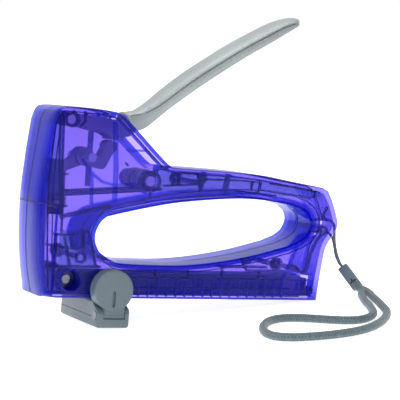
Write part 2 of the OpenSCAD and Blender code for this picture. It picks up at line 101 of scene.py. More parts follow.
def inset_point(edge, i, d):
    """Corner i of a closed outline, moved into it by d; the outline runs anticlockwise."""
    a, b, c = (edge[(i + k) % len(edge)].to_2d() for k in (-1, 0, 1))
    u = (b - a).orthogonal().normalized()
    v = (c - b).orthogonal().normalized()
    w = (u + v).normalized()
    return b + w * d / max(SHARPEST, w.dot(u))


def inset(edge, d, r_change=0.0):
    """The outline moved inwards by d, with its edge rounding changed too."""
    return [Vector((*inset_point(edge, i, d), max(p[2] + r_change, LEAST_ROUNDING)))
            for i, p in enumerate(edge)]


# Side view of the body: (x, z, edge rounding), anticlockwise from the nose's lower corner
REAR = curve([(146.6, 0, 1), (147.6, 6, 2), (149.4, 20, 2.5), (151, 27, 3), (154, 32, 3), (156.6, 36.6, 3),
              (156.4, 41, 3), (152.4, 50, 2.5), (149, 55, 1.5)], CURVE_STEPS)
HANDLE_TOP = curve([(145.5, 56.6, 1.2), (127, 58.9, 1.2), (109, 61.2, 1.2), (86, 62, 1.2), (64, 62.4, 1.2),
                    (59.5, 63.6, 1.2), (54, 68, 1.2), (47, 74.2, 1.2)], CURVE_STEPS)
HEAD_TOP = curve([(36.6, 83.4, 1.2), (33.6, 85.6, 1.2), (29, 86.8, 1.2), (18, 87.6, 1.2), (6, 87.6, 1.4),
                  (1.4, 85.6, 1.8), (-0.8, 81, 2)], CURVE_STEPS)
NOSE = curve([(-2.7, 66, 2.4), (-4.5, 46, 3.4), (-4.1, 26, 4), (-2.5, 12, 4), (0.2, 0, 3)], CURVE_STEPS)
BODY_EDGE = REAR + HANDLE_TOP + HEAD_TOP + NOSE + [Vector((7, 0, 1.4))]

# Hand hole: (x, z, edge rounding), anticlockwise
HOLE_EDGE = (curve([(32, 18.4, 1.8), (38, 16.6, 2.8), (54.8, 16, 3.1), (72.8, 16.3, 3.1), (91, 18.3, 3.2),
                    (110, 21.8, 3.2), (128.6, 26.6, 3.2)], CURVE_STEPS)
             + curve([(135.8, 29.6, 3.4), (139.8, 33, 3.8), (141.5, 37.8, 4.2), (140, 42, 4.3),
                      (135.8, 45.2, 4.3)], TIGHT_STEPS)
             + curve([(129, 47, 4.3), (112, 48.8, 4.4), (95, 48.6, 4.4), (68, 45.8, 4.4), (50, 42.4, 4.4),
                      (36, 39.2, 4.2)], CURVE_STEPS)
             + curve([(30, 37.8, 3.2), (26.6, 35.4, 1.6), (24.2, 30.6, 1), (24.4, 26, 1), (26.8, 21.6, 1.2)],
                     TIGHT_STEPS))


# ---- how the gun stands ------------------------------------------------------------------------
tilt = math.atan2(FOOT_DROP, HEEL_X - FOOT_BACK)
lowest_x = min(p.x * math.cos(tilt) + p.y * math.sin(tilt) for p in BODY_EDGE)
shift = Vector((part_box("nose_cover")[0].x / MM - lowest_x, 0, HEEL_X * math.sin(tilt)))
STAND = Matrix.Scale(MM, 4) @ Matrix.Translation(shift) @ Matrix.Rotation(tilt, 4, "Y")
ROW = Matrix.Scale(MM, 4)


# ---- camera --------------------------------------------------------------------------------------
CAM_AT = Vector((-0.3169, -0.6359, 0.1385))
CAM_AZIMUTH = math.radians(27.24)
CAM_DOWN = math.radians(6.75)
CAM_ROLL = math.radians(-1.83)
CAM_LENS = 132.66

SENSOR = 36
CLIP = (0.01, 50)


def make_camera():
    ahead = Vector((math.sin(CAM_AZIMUTH) * math.cos(CAM_DOWN), math.cos(CAM_AZIMUTH) * math.cos(CAM_DOWN),
                    -math.sin(CAM_DOWN)))
    level = ahead.cross(Vector((0, 0, 1))).normalized()
    right = Matrix.Rotation(-CAM_ROLL, 3, ahead) @ level
    up = right.cross(ahead)
    data = bpy.data.cameras.new("camera")
    data.lens = CAM_LENS
    data.sensor_width = SENSOR
    data.clip_start, data.clip_end = CLIP
    camera = bpy.data.objects.new("camera", data)
    bpy.context.scene.collection.objects.link(camera)
    camera.matrix_world = Matrix.Translation(CAM_AT) @ Matrix((right, up, -ahead)).transposed().to_4x4()
    bpy.context.scene.camera = camera


make_camera()


# ---- materials ---------------------------------------------------------------------------------
class Nodes:
    """A short way to build the node tree of a material or a world."""

    def __init__(self, owner, output="ShaderNodeOutputMaterial"):
        self.owner = owner
        owner.use_nodes = True
        self.tree = owner.node_tree
        self.tree.nodes.clear()
        self.output = self.add(output)

    def add(self, kind, inputs=None, **settings):
        node = self.tree.nodes.new(kind)
        for key, value in settings.items():
            setattr(node, key, value)
        for key, value in (inputs or {}).items():
            self.put(node.inputs[key], value)
        return node

    def put(self, socket, value):
        if isinstance(value, bpy.types.NodeSocket):
            self.tree.links.new(value, socket)
        elif isinstance(value, tuple) and len(value) == 3 and socket.type == "RGBA":
            socket.default_value = (*value, 1)
        else:
            socket.default_value = value

    def where(self):
        return self.add("ShaderNodeTexCoord").outputs["Object"]

    def part(self, vector, axis):
        return self.add("ShaderNodeSeparateXYZ", {0: vector}).outputs[axis]

    def span(self, value, start, end, to_start, to_end):
        """The value, carried from the range start to end over to another range."""
        return self.add("ShaderNodeMapRange", {"Value": value, "From Min": start, "From Max": end,
                                               "To Min": to_start, "To Max": to_end}).outputs[0]

    def noise(self, scale, detail=3, rough=0.5, vector=None):
        return self.add("ShaderNodeTexNoise", {"Vector": vector or self.where(), "Scale": scale,
                                               "Detail": detail, "Roughness": rough}).outputs["Fac"]

    def ramp(self, fac, *stops):
        node = self.add("ShaderNodeValToRGB", {"Fac": fac})
        elements = node.color_ramp.elements
        while len(elements) < len(stops):
            elements.new(0.5)
        for element, (at, colour) in zip(elements, stops):
            element.position = at
            element.color = (*colour, 1) if isinstance(colour, tuple) else (colour, colour, colour, 1)
        return node.outputs["Color"]

    def mix(self, fac, a, b):
        node = self.add("ShaderNodeMix", data_type="RGBA")
        for socket, value in ((0, fac), (6, a), (7, b)):
            self.put(node.inputs[socket], value)
        return node.outputs[2]

    def blend(self, fac, a, b):
        return self.add("ShaderNodeMixShader", {0: fac, 1: a, 2: b}).outputs[0]

    def maths(self, operation, *values, clamp=False):
        node = self.add("ShaderNodeMath", operation=operation, use_clamp=clamp)
        for socket, value in zip(node.inputs, values):
            self.put(socket, value)
        return node.outputs[0]

    def bump(self, height, strength, distance=0.0002):
        return self.add("ShaderNodeBump", {"Height": height, "Strength": strength,
                                           "Distance": distance}).outputs["Normal"]

    def principled(self, **inputs):
        names = {key: key.replace("_", " ") for key in inputs}
        return self.add("ShaderNodeBsdfPrincipled", {names[k]: v for k, v in inputs.items()}).outputs["BSDF"]

    def finish(self, shader):
        self.put(self.output.inputs["Surface"], shader)
        return self.owner


def new_material(name):
    return Nodes(bpy.data.materials.new(name))


def shade(colour, factor):
    return tuple(min(1, c * factor) for c in colour)


# Along X, in metres, where the wall thins towards the clearer rear end
CLEAR_REAR = (0.0655, 0.069)
REAR_RIM = 0.3
# Share of the surface's direction that lies along Y: all rim up to the first, none from the second
RIM_LEAN = (0.45, 0.97)
GLOW = 0.35
EDGE_ON_COVER = 0.35
POLISH = (0.66, 0.69, 1.0)
POLISH_POWER = 4.0
POLISH_BASE = 0.01


def rim_of(m):
    """1 on the walls that run along Y, 0 on the flat sides, and less at the clearer rear end."""
    across = m.part(m.add("ShaderNodeTexCoord").outputs["Normal"], "Y")
    rim = m.span(m.maths("ABSOLUTE", across), *RIM_LEAN, 1, 0)
    thick = m.span(m.part(m.where(), "X"), *CLEAR_REAR, 1, REAR_RIM)
    return m.maths("MULTIPLY", rim, thick)


def polished(m, walls, rough, grain, glare):
    """The walls under a gloss layer, which is strongest where they are seen edge-on."""
    gloss = m.add("ShaderNodeBsdfAnisotropic", {"Color": POLISH, "Roughness": rough, "Normal": grain})
    edge_on = m.add("ShaderNodeLayerWeight", {"Blend": 0.5}).outputs["Facing"]
    sheen = m.maths("MULTIPLY_ADD", m.maths("POWER", edge_on, POLISH_POWER), glare, glare * POLISH_BASE)
    return m.blend(sheen, walls, gloss.outputs[0])


def clear_plastic(name, film, rim_film, dye, rim_dye, cover, rim_cover, glare=0.0):
    """Tinted clear moulding: a see-through film under a dyed, glossy surface. The walls that run
    along Y are seen through their whole depth, so they are deeper in colour and less clear."""
    m = new_material(name)
    rim = rim_of(m)
    flow = m.noise(30, 4, 0.55)
    patches = m.noise(11, 2, 0.5)
    face_dye = m.ramp(flow, (0.3, shade(dye, 0.7)), (0.7, dye))
    tint = m.mix(rim, face_dye, rim_dye)
    rough = m.maths("MULTIPLY_ADD", patches, 0.1, 0.12)
    grain = m.bump(m.noise(900, 2, 0.6), 0.03)
    body = m.principled(Base_Color=tint, Roughness=rough, Normal=grain, Specular_IOR_Level=0.45,
                        Coat_Weight=0.3, Coat_Roughness=0.06)
    glow = m.add("ShaderNodeBsdfTranslucent", {"Color": tint}).outputs[0]
    clear = m.ramp(patches, (0.35, shade(film, 0.93)), (0.65, film))
    through = m.add("ShaderNodeBsdfTransparent", {"Color": m.mix(rim, clear, rim_film)}).outputs[0]
    facing = m.add("ShaderNodeLayerWeight", {"Blend": 0.25}).outputs["Facing"]
    amount = m.maths("ADD", m.span(rim, 0, 1, cover, rim_cover),
                     m.maths("MULTIPLY", facing, EDGE_ON_COVER), clamp=True)
    walls = m.blend(amount, through, m.blend(GLOW, body, glow))
    return m.finish(polished(m, walls, rough, grain, glare) if glare else walls)


def plated(name, colour, rough, streak=(60, 900, 900), bright=1.0, metal=1.0):
    """Plated or ground steel with fine drawn lines and faint smudges."""
    m = new_material(name)
    along = m.add("ShaderNodeMapping", {"Vector": m.where(), "Scale": streak}).outputs[0]
    lines = m.noise(1, 3, 0.6, along)
    tone = m.ramp(m.noise(45, 3, 0.5), (0.3, shade(colour, 0.9)), (0.7, shade(colour, bright)))
    roughness = m.maths("MULTIPLY_ADD", lines, 0.18, rough - 0.09)
    return m.finish(m.principled(Base_Color=tone, Metallic=metal, Roughness=roughness,
                                 Normal=m.bump(lines, 0.06)))


def moulded(name, colour, rough, grain=0.12):
    """Opaque moulded plastic with a fine spark-eroded grain and slightly uneven tone."""
    m = new_material(name)
    tone = m.ramp(m.noise(30, 4, 0.55), (0.25, shade(colour, 0.88)), (0.75, shade(colour, 1.08)))
    roughness = m.maths("MULTIPLY_ADD", m.noise(160, 3, 0.6), 0.14, rough - 0.07)
    return m.finish(m.principled(Base_Color=tone, Roughness=roughness,
                                 Normal=m.bump(m.noise(2400, 2, 0.6), grain)))


SHELL = clear_plastic("violet_clear", film=(0.74, 0.66, 1.0), rim_film=(0.10, 0.14, 0.95),
                      dye=(0.05, 0.05, 0.75), rim_dye=(0.003, 0.006, 0.50), cover=0.11, rim_cover=0.42,
                      glare=0.5)
RIB = clear_plastic("smoky_ribs", film=(0.5, 0.53, 0.72), rim_film=(0.5, 0.53, 0.72),
                    dye=(0.08, 0.08, 0.28), rim_dye=(0.07, 0.07, 0.26), cover=0.22, rim_cover=0.2)
SMOKE = clear_plastic("smoky_liner", film=(0.72, 0.86, 0.88), rim_film=(0.72, 0.86, 0.88),
                      dye=(0.04, 0.05, 0.5), rim_dye=(0.04, 0.05, 0.5), cover=0.03, rim_cover=0.03)
BLUE_RIB = clear_plastic("blue_ribs", film=(0.62, 0.68, 0.97), rim_film=(0.6, 0.66, 0.97),
                         dye=(0.04, 0.06, 0.7), rim_dye=(0.03, 0.05, 0.7), cover=0.12, rim_cover=0.12)
PALE_RIB = clear_plastic("pale_ribs", film=(0.7, 0.66, 0.95), rim_film=(0.66, 0.62, 0.95),
                         dye=(0.10, 0.10, 0.75), rim_dye=(0.10, 0.10, 0.75), cover=0.4, rim_cover=0.3)
DEEP = clear_plastic("deep_blue", film=(0.02, 0.02, 0.5), rim_film=(0.02, 0.02, 0.5),
                     dye=(0.004, 0.008, 0.42), rim_dye=(0.003, 0.006, 0.45), cover=0.8, rim_cover=0.8,
                     glare=0.5)
LEVER_STEEL = plated("satin_nickel", (0.35, 0.39, 0.395), 0.46, streak=(40, 40, 40), bright=1.06,
                     metal=0.4)
PRESSED = plated("zinc_pressing", (0.40, 0.42, 0.46), 0.48, metal=0.6)
BRIGHT = plated("ground_steel", (0.78, 0.79, 0.82), 0.35, metal=0.7)
SPRING = plated("spring_wire", (0.42, 0.43, 0.46), 0.4, metal=0.7)
CHROME = plated("polished_chrome", (0.17, 0.18, 0.21), 0.3)
# Near-black strips: painted shadow in the seams' gaps and painted shade along the nose's inner corners
PAINTED_SHADE = moulded("seam_shadow", (0.012, 0.012, 0.06), 0.6)
GREY = moulded("blue_grey_plastic", (0.115, 0.155, 0.18), 0.42)
BLACK = moulded("black_plastic", (0.02, 0.02, 0.025), 0.45)
RUBBER = moulded("black_rubber", (0.018, 0.018, 0.02), 0.7, grain=0.25)
NODE_MATERIALS = {"satin_steel": LEVER_STEEL, "pressed_steel": PRESSED, "bright_pin": BRIGHT,
                  "spring_steel": SPRING, "chrome_screw": CHROME, "zinc_screw": BRIGHT,
                  "black_rubber": RUBBER, "black_plastic": BLACK, "grey_plastic": GREY,
                  "shell_plastic": SHELL}


# ---- building pieces -----------------------------------------------------------------------------
def add_object(name, mesh):
    made = bpy.data.objects.new(name, mesh)
    bpy.context.scene.collection.objects.link(made)
    return made


def piece(name, bm, material, body, replaces=(), place=None, sharp=32):
    """Turns a bmesh in millimetres into a shown piece that rides on a body."""
    bm.transform(STAND if place is None else place)
    bmesh.ops.recalc_face_normals(bm, faces=bm.faces)
    mesh = bpy.data.meshes.new(name)
    bm.to_mesh(mesh)
    bm.free()
    mesh.materials.append(material)
    mesh.polygons.foreach_set("use_smooth", [True] * len(mesh.polygons))
    mesh.set_sharp_from_angle(angle=math.radians(sharp))
    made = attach(add_object(name, mesh), body)
    if replaces:
        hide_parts(*replaces)
    return made


def circle(r, segments):
    """Offsets of the corners of a circle, as (across, up)."""
    turn = [2 * math.pi * k / segments for k in range(segments)]
    return [(r * math.cos(a), r * math.sin(a)) for a in turn]


def add_ring(bm, points):
    return [bm.verts.new(p) for p in points]


def bridge(bm, a, b):
    n = len(a)
    for i in range(n):
        j = (i + 1) % n
        bm.faces.new((a[i], a[j], b[j], b[i]))


def bridge_all(bm, rings, round_again=False):
    """Joins each ring to the next, and with round_again the last one to the first."""
    for a, b in zip(rings, rings[1:] + (rings[:1] if round_again else [])):
        bridge(bm, a, b)


def cap(bm, rings):
    bm.faces.new(rings[0])
    bm.faces.new(rings[-1])


def fill(bm, *rings):
    """Fills the flat area inside the first ring and outside the others."""
    bm.edges.ensure_lookup_table()
    edges = [bm.edges.get((r[i], r[(i + 1) % len(r)])) for r in rings for i in range(len(r))]
    bmesh.ops.triangle_fill(bm, use_beauty=True, edges=edges)


def block(bm, x0, x1, y0, y1, z0, z1):
    middle = Matrix.Translation(((x0 + x1) / 2, (y0 + y1) / 2, (z0 + z1) / 2))
    size = Matrix.Diagonal((x1 - x0, y1 - y0, z1 - z0, 1))
    bmesh.ops.create_cube(bm, size=1, matrix=middle @ size)


def round_bar(bm, r, length, segments, place):
    bmesh.ops.create_cone(bm, cap_ends=True, segments=segments, radius1=r, radius2=r, depth=length,
                          matrix=place)


def bar(bm, at, r, y0, y1, segments=48):
    """A round bar along Y at (x, z), between y0 and y1."""
    place = Matrix.Translation((at[0], (y0 + y1) / 2, at[1])) @ Matrix.Rotation(math.radians(90), 4, "X")
    round_bar(bm, r, y1 - y0, segments, place)


def hinge_bar(bm, middle, r, length, segments):
    """A round bar along X on the foot's hinge line, its middle at the given x."""
    place = Matrix.Translation((middle, HINGE[0], HINGE[1])) @ Matrix.Rotation(math.pi / 2, 4, "Y")
    round_bar(bm, r, length, segments, place)


def prism(bm, low, high):
    """The solid between two equal outlines."""
    rings = [add_ring(bm, low), add_ring(bm, high)]
    cap(bm, rings)
    bridge_all(bm, rings)


def plate(bm, outline, y0, y1):
    """A flat plate in the XZ plane between y0 and y1."""
    prism(bm, [(x, y0, z) for x, z in outline], [(x, y1, z) for x, z in outline])


# Profiles of a bevel: one that steps inwards, and a round one
STEPPED = 0.0
ROUND = 0.5


def bevel_edges(bm, edges, width, segments, profile):
    bmesh.ops.bevel(bm, geom=edges, offset=width, segments=segments, affect="EDGES", profile=profile)


def edges_along_y(bm, least):
    """The edges that run further than this along Y."""
    return [e for e in bm.edges if abs(e.verts[0].co.y - e.verts[1].co.y) > least]


def edges_nearer_than(bm, y):
    return [e for e in bm.edges if all(v.co.y < y for v in e.verts)]


def cut(bm, cutter, operation="DIFFERENCE"):
    """bm with the closed shapes of cutter taken out of it; both are used up."""
    objects = []
    for source in (bm, cutter):
        bmesh.ops.recalc_face_normals(source, faces=source.faces)
        mesh = bpy.data.meshes.new("scratch")
        source.to_mesh(mesh)
        source.free()
        objects.append(add_object("scratch", mesh))
    modifier = objects[0].modifiers.new("cut", "BOOLEAN")
    modifier.operation = operation
    modifier.solver = "EXACT"
    modifier.use_self = True
    modifier.object = objects[1]
    solved = objects[0].evaluated_get(bpy.context.evaluated_depsgraph_get()).to_mesh()
    made = bmesh.new()
    made.from_mesh(solved)
    for o in objects:
        mesh = o.data
        bpy.data.objects.remove(o)
        bpy.data.meshes.remove(mesh)
    return made


def tube(points, radius, segments=16, bm=None, shape=None):
    """A round tube along the points; shape(i, k) may change the radius at ring i, corner k."""
    bm = bm or bmesh.new()
    points = [Vector(p) for p in points]
    last = len(points) - 1
    side, rings = None, []
    for i, p in enumerate(points):
        along = (points[min(i + 1, last)] - points[max(i - 1, 0)]).normalized()
        side = along.orthogonal() if side is None else side - along * side.dot(along)
        side.normalize()
        up = along.cross(side)
        turn = [2 * math.pi * k / segments for k in range(segments)]
        rings.append(add_ring(bm, [p + (side * math.cos(a) + up * math.sin(a)) * radius
                                   * (shape(i, k) if shape else 1) for k, a in enumerate(turn)]))
    bridge_all(bm, rings)
    cap(bm, rings)
    return bm


# ---- strap: its route is the CAD's, in row millimetres ---------------------------------------------
LOOP_ROUTE = [(89.4, -5.8, 12), (88.3, -4, 14.6), (87.5, -2.4, 18.5), (87.1, -1.2, 23), (87.2, -0.4, 27.5),
              (87.8, 0.2, 31.6), (87.6, 0.4, 34.6), (85.6, 0.3, 36.8), (82, 0.2, 37.8), (78, 0, 38.2),
              (74, 0, 38.2), (71.5, 0, 37), (70.9, 0, 34.6), (72.2, 0, 32.7), (75.4, 0, 32.2),
              (79.4, 0, 32.2), (83, -0.5, 31.3), (85.4, -1.2, 28.4), (86, -2, 24.4), (86.2, -3, 19.6),
              (86.8, -4.4, 16.2), (87.5, -5.6, 14.4), (88.5, -6.9, 12.6)]
STRAP_ROUTE = [(90, -13.9, 6.4), (90.7, -15.9, 4.3), (90, -20.5, 2.7), (86, -26.5, 2.1), (82, -34, 2.1),
               (78, -42, 2.1), (74, -51, 2.1), (69.5, -60, 2.1), (64.5, -68.5, 2.1), (58.5, -74.5, 2.1),
               (51.5, -77, 2.1), (45.5, -74.5, 2.1), (40.5, -69, 2.1), (36, -63, 2.1), (31, -57, 2.1),
               (24.5, -53, 2.1), (17, -54.5, 2.1), (10, -61, 2.1), (4.5, -69.5, 2.1), (1.5, -78, 2.1),
               (1.8, -85.5, 2.1), (6.5, -91.5, 2.1), (15.5, -95.5, 2.1), (26, -97.5, 2.1),
               (36.5, -97, 2.1), (46.5, -93.5, 2.1), (56.5, -86.5, 2.1), (65.5, -77.5, 2.1),
               (72.5, -68, 2.1), (77.5, -57.5, 2.1), (82.5, -46.5, 2.1), (87, -35.5, 2.1),
               (91.5, -25.5, 2.1), (94, -18, 2.2), (93.3, -13.1, 3), (92.4, -11, 4.6)]

STRAP_D = 4.0
LOOP_D = 1.4
STRAP_STEP = 0.32
STRAP_SIDES = 32
# The braid's hollows lie this share of the radius below its crests
BRAID_DEPTH = 0.09
# The crests stay this share of the diameter from the middle, inside the CAD's tube
CREST_RADIUS = 0.495
STRANDS = 16
BRAID_PITCH = 5.6


def braid_material():
    """Plaited cord: blue-grey strands with painted shade in the gaps and pale flecks, from the braid the
    mesh holds.
    """
    m = new_material("braided_polyester")
    height = m.add("ShaderNodeAttribute", attribute_name="strand").outputs["Fac"]
    # Strand colour from the plait's height: darkened in the hollows with painted shade, lighter on the
    # crests
    shaded_strands = m.ramp(height, (0.0, (0.035, 0.05, 0.062)), (0.45, (0.095, 0.14, 0.16)),
                  (1.0, (0.19, 0.25, 0.27)))
    pale = m.ramp(m.noise(620, 2, 0.5), (0.62, 0.0), (0.72, 1.0))
    colour = m.mix(m.maths("MULTIPLY", pale, 0.35), shaded_strands, (0.3, 0.37, 0.39))
    return m.finish(m.principled(Base_Color=colour, Roughness=0.72, Sheen_Weight=0.3, Sheen_Roughness=0.5,
                                 Normal=m.bump(m.noise(2600, 3, 0.6), 0.25)))


def cord_material():
    """Thin twisted cord, darker than the strap."""
    m = new_material("thin_dark_cord")
    tone = m.ramp(m.noise(1400, 3, 0.6), (0.3, (0.055, 0.065, 0.075)), (0.7, (0.14, 0.16, 0.175)))
    return m.finish(m.principled(Base_Color=tone, Roughness=0.6, Sheen_Weight=0.2,
                                 Normal=m.bump(m.noise(3000, 2, 0.6), 0.3)))


def even_steps(points, step):
    """Points along the same line, all a step apart."""
    made, reach = [points[0].copy()], step
    for a, b in zip(points, points[1:]):
        span = (b - a).length
        while reach <= span:
            made.append(a.lerp(b, reach / span))
            reach += step
        reach -= span
    return made + [points[-1].copy()]


def braid(i, k):
    """Height of the plait, 0 to 1, at ring i and corner k: two sets of strands wound opposite ways."""
    turn = k / STRAP_SIDES
    along = i * STRAP_STEP / BRAID_PITCH
    one = math.sin(math.pi * STRANDS / 2 * (turn + along))
    other = math.sin(math.pi * STRANDS / 2 * (turn - along))
    return max(one * one * (0.5 + 0.5 * other), other * other * (0.5 - 0.5 * one))


def make_strap():
    line = even_steps(curve(STRAP_ROUTE, 12), STRAP_STEP)
    plait = [[braid(i, k) for k in range(STRAP_SIDES)] for i in range(len(line))]
    bm = tube(line, STRAP_D * CREST_RADIUS, STRAP_SIDES,
              shape=lambda i, k: 1 - BRAID_DEPTH + BRAID_DEPTH * plait[i][k])
    cord = piece("wrist_cord", bm, braid_material(), "body", ["strap_cord"], ROW, 180)
    strand = cord.data.attributes.new("strand", "FLOAT", "POINT")
    strand.data.foreach_set("value", [h for row in plait for h in row])
    loop_line = curve(LOOP_ROUTE, 10)
    loop = piece("loop_cord", tube(loop_line, LOOP_D / 2, 14), cord_material(), "body",
                 ["strap_loop"], ROW)
    clasp = make_clasp()


CLASP_TOP = Vector((88.6, -5.4, 13.4))
CLASP_END = Vector((92, -14.4, 3.3))
CLASP_HALF = (2.7, 2.1)
CLASP_TURN = math.radians(60)
CLASP_PROFILE = 0.6
FORK_HALF = 1.7
FORK_Y = (0.5, 5)
FORK_START = 0.6


def make_clasp():
    """The fork-shaped clip: a rounded block with a recess on both faces where the wrist cord comes out."""
    across, deep = CLASP_HALF
    long = (CLASP_END - CLASP_TOP).length
    bm = bmesh.new()
    block(bm, -across, across, -deep, deep, 0, long)
    bevel_edges(bm, bm.edges[:], 0.7, 4, CLASP_PROFILE)
    for y0, y1 in ((-FORK_Y[1], -FORK_Y[0]), FORK_Y):
        fork = bmesh.new()
        block(fork, -FORK_HALF, FORK_HALF, y0, y1, long * FORK_START, long + 2)
        bevel_edges(fork, edges_along_y(fork, 1), 1.4, 5, STEPPED)
        bm = cut(bm, fork)
    d = (CLASP_END - CLASP_TOP).normalized()
    turn = d.to_track_quat("Z", "Y").to_matrix().to_4x4() @ Matrix.Rotation(CLASP_TURN, 4, "Z")
    place = ROW @ Matrix.Translation(CLASP_TOP) @ turn
    return piece("strap_clip", bm, GREY, "body", ["strap_clasp"], place)


make_strap()


# ---- shells --------------------------------------------------------------------------------------
BEND_STEPS = 7
# Extra rounding of the nose: its size, and where along X it starts and over what length it grows
NOSE_BOW = 7.0
BOW_START = 3.2
BOW_REACH = 4.5
GROOVE = 0.6


def bow(x):
    """How much further round the nose its curve reaches than the other rounded edges do."""
    t = min(max((BOW_START - x) / BOW_REACH, 0), 1)
    return NOSE_BOW * t * t * (3 - 2 * t)


def skin(bm, edge, half, into, groove=0.0):
    """Rings of a rounded edge from the parting plane out to y = half; into is +1 for an outside
    edge and -1 for a hole's, and the last ring bounds the flat side."""
    starts = [inset_point(edge, i, into * groove) for i in range(len(edge))]
    rings = [add_ring(bm, [(q.x, groove / 4, q.y) for q in starts])]
    if groove:
        rings.append(add_ring(bm, [(p.x, groove, p.y) for p in edge]))
    for k in range(BEND_STEPS + 1):
        a = math.radians(90) * k / BEND_STEPS
        points = []
        for i, p in enumerate(edge):
            q = inset_point(edge, i, into * p[2] * (1 - math.cos(a)))
            points.append((q.x, half - (p[2] + bow(p.x)) * (1 - math.sin(a)), q.y))
        rings.append(add_ring(bm, points))
    bridge_all(bm, rings)
    return rings[0], rings[-1]


def half_shell():
    """One closed half with real walls, for y from 0 out; the other half is its mirror image."""
    bm = bmesh.new()
    body_foot, body_rim = skin(bm, BODY_EDGE, HALF_W, 1, GROOVE)
    hole_foot, hole_rim = skin(bm, HOLE_EDGE, HALF_W, -1, GROOVE)
    fill(bm, body_rim, hole_rim)
    in_foot, in_rim = skin(bm, inset(BODY_EDGE, WALL, -WALL), HALF_W - WALL, 1)
    in_hole_foot, in_hole_rim = skin(bm, inset(HOLE_EDGE, -WALL, -WALL), HALF_W - WALL, -1)
    fill(bm, in_rim, in_hole_rim)
    bridge(bm, body_foot, in_foot)
    bridge(bm, hole_foot, in_hole_foot)
    return bm


LEVER_SLOT = [(30.5, 80.6), (57, 58.4), (62.4, 59.4), (62.4, 92), (37.5, 92), (33, 84.4)]
LEVER_SLOT_HALF = 8.4
MOUTH_HALF = 7.2
MOUTH_TOP = 11.4
POST_WINDOW = (31.4, 40.4)
POST_WINDOW_HALF = 2.6


def lever_slot(bm):
    plate(bm, LEVER_SLOT, -1, LEVER_SLOT_HALF)


def shell_openings():
    """What one half leaves open: lever slot, magazine mouth, window of the post, nose screw's hole."""
    bm = bmesh.new()
    lever_slot(bm)
    block(bm, -6, 160, -1, MOUTH_HALF, -1, MOUTH_TOP)
    block(bm, 150, 160, -1, POST_WINDOW_HALF, *POST_WINDOW)
    bar(bm, SIDE_HOLE, SIDE_HOLE_R, 5, HALF_W + 2, 64)
    return bm


def cover_room(gap):
    """The corner of the body that the nose cover fills, with a gap around it."""
    bm = bmesh.new()
    block(bm, -9, COVER_X + gap, -1, HALF_W + 3, -3, COVER_Z + gap)
    return bm


def flip_side(bm, side):
    if side < 0:
        bm.transform(Matrix.Scale(-1, 4, (0, 1, 0)))
    return bm


COVER_GAP = 0.4
COVER_BORE = (0.9, 6, -1, 8.2, -2, 44)


def make_nose_cover():
    """The clear cover over the staple exit: both sides of it, hollowed for the guide."""
    bm = cut(half_shell(), cover_room(0), "INTERSECT")
    middle = bmesh.new()
    block(middle, *COVER_BORE)
    bm = cut(bm, middle)
    other = bm.copy()
    flip_side(other, -1)
    mesh = bpy.data.meshes.new("scratch")
    other.to_mesh(mesh)
    bm.from_mesh(mesh)
    bpy.data.meshes.remove(mesh)
    piece("nose_cap", bm, SHELL, "body", ["nose_cover"])


def make_shells():
    for side, name in ((-1, "near"), (1, "far")):
        bm = cut(cut(half_shell(), shell_openings()), cover_room(COVER_GAP))
        piece(name + "_half", flip_side(bm, side), SHELL, "body", [name + "_shell"])
    make_nose_cover()


make_shells()

# Section of the dark strip in the groove, painted shadow of the gap, as (depth below the edge, y)
SEAM_SHADOW_SECTION = [(0.42, -0.5), (0.12, -0.22), (0.12, 0.22), (0.42, 0.5), (0.7, 0)]


def seam_openings():
    """Where the parting line stops: lever slot, magazine mouth and heel, window of the post."""
    bm = bmesh.new()
    lever_slot(bm)
    block(bm, 6, 148, -2, 2, -1, 3)
    block(bm, 141, 160, -2, 2, -1, 11.8)
    block(bm, 150, 160, -2, 2, *POST_WINDOW)
    return bm


def make_seam_shadows():
    """A dark strip sunk in the groove where the two halves meet: painted shadow of the gap between them."""
    bm = bmesh.new()
    for edge, into in ((BODY_EDGE, 1), (HOLE_EDGE, -1)):
        rings = []
        for deep, y in SEAM_SHADOW_SECTION:
            line = [inset_point(edge, i, into * deep) for i in range(len(edge))]
            rings.append(add_ring(bm, [(q.x, y, q.y) for q in line]))
        bridge_all(bm, rings, round_again=True)
    for side in (1, -1):
        bm = cut(bm, flip_side(seam_openings(), side))
    piece("parting_seam_shadow", bm, PAINTED_SHADE, "body")


make_seam_shadows()


def make_cover_seam_shadow():
    """A dark slice along the top of the nose cover: painted shadow of the joint's gap."""
    for side, name in ((-1, "near_joint_shadow"), (1, "far_joint_shadow")):
        room = bmesh.new()
        block(room, -9, COVER_X + 1.2, -1, HALF_W + 3, COVER_Z + 0.03, COVER_Z + 0.37)
        bm = cut(half_shell(), room, "INTERSECT")
        piece(name, flip_side(bm, side), PAINTED_SHADE, "body")


make_cover_seam_shadow()

# Outlines of the greyer parts of the near wall, as (x, z)
LINER_HANDLE = [(50.5, 58), (54, 51.5), (62, 50.6), (95, 51.8), (128, 51.4), (140, 50.2), (147.6, 52.4),
                (145, 54.6), (127, 57), (109, 59.2), (86, 60), (64, 60.4), (57, 62.6)]
LINER_BASE = [(7.8, 1.6), (129, 1.6), (129, 11.8), (100, 12), (60, 11.8), (29, 12), (20, 31), (7.8, 31)]
LINER_NOSE = [(0.8, 44.5), (7.4, 44.5), (5.6, 84.2), (2.6, 84.2), (0.4, 66)]

LINER_Y = (-11.9, -11.6)
LINER_HOLE_R = 5.8


